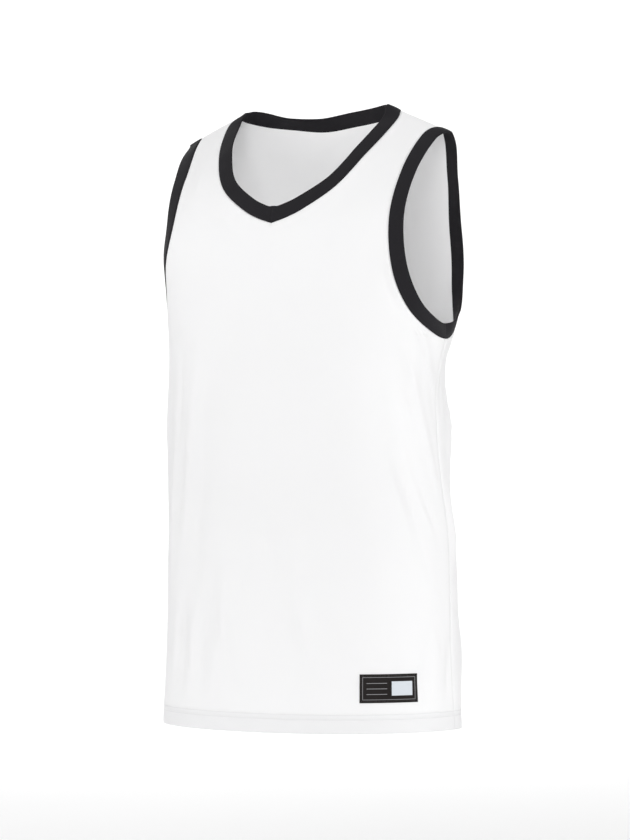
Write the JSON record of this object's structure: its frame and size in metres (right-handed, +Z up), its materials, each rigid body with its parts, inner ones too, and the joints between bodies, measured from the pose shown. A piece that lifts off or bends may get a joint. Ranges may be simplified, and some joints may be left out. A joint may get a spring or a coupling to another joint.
{
  "type": "basketball jersey",
  "caption": "Sleeveless V-neck basketball jersey, filled out as worn: hollow knit body, dark rib bands at neck and armholes, turned hem and a small woven tag at the hem.",
  "frame": {"origin": "middle of the garment from side to side, on the line of the shoulder ridge, level with the neck ends of the shoulder seams, where the wearer's shoulders or a hanger carry it", "axes": "+Z up along the wearer's body, +X towards the wearer's left, the front of the garment faces -Y"},
  "size_m": [0.3952, 0.2433, 0.7615],
  "materials": {
    "white_knit": "soft matt polyester knit",
    "black_rib": "matt rib knit",
    "tag_weave": "fine satin weave"
  },
  "bodies": {
    "root": {"front_panel": "white_knit", "back_panel": "white_knit", "neck_band": "black_rib", "armhole_band_left": "black_rib", "armhole_band_right": "black_rib", "hem_tag": "tag_weave"}
  },
  "joints": []
}
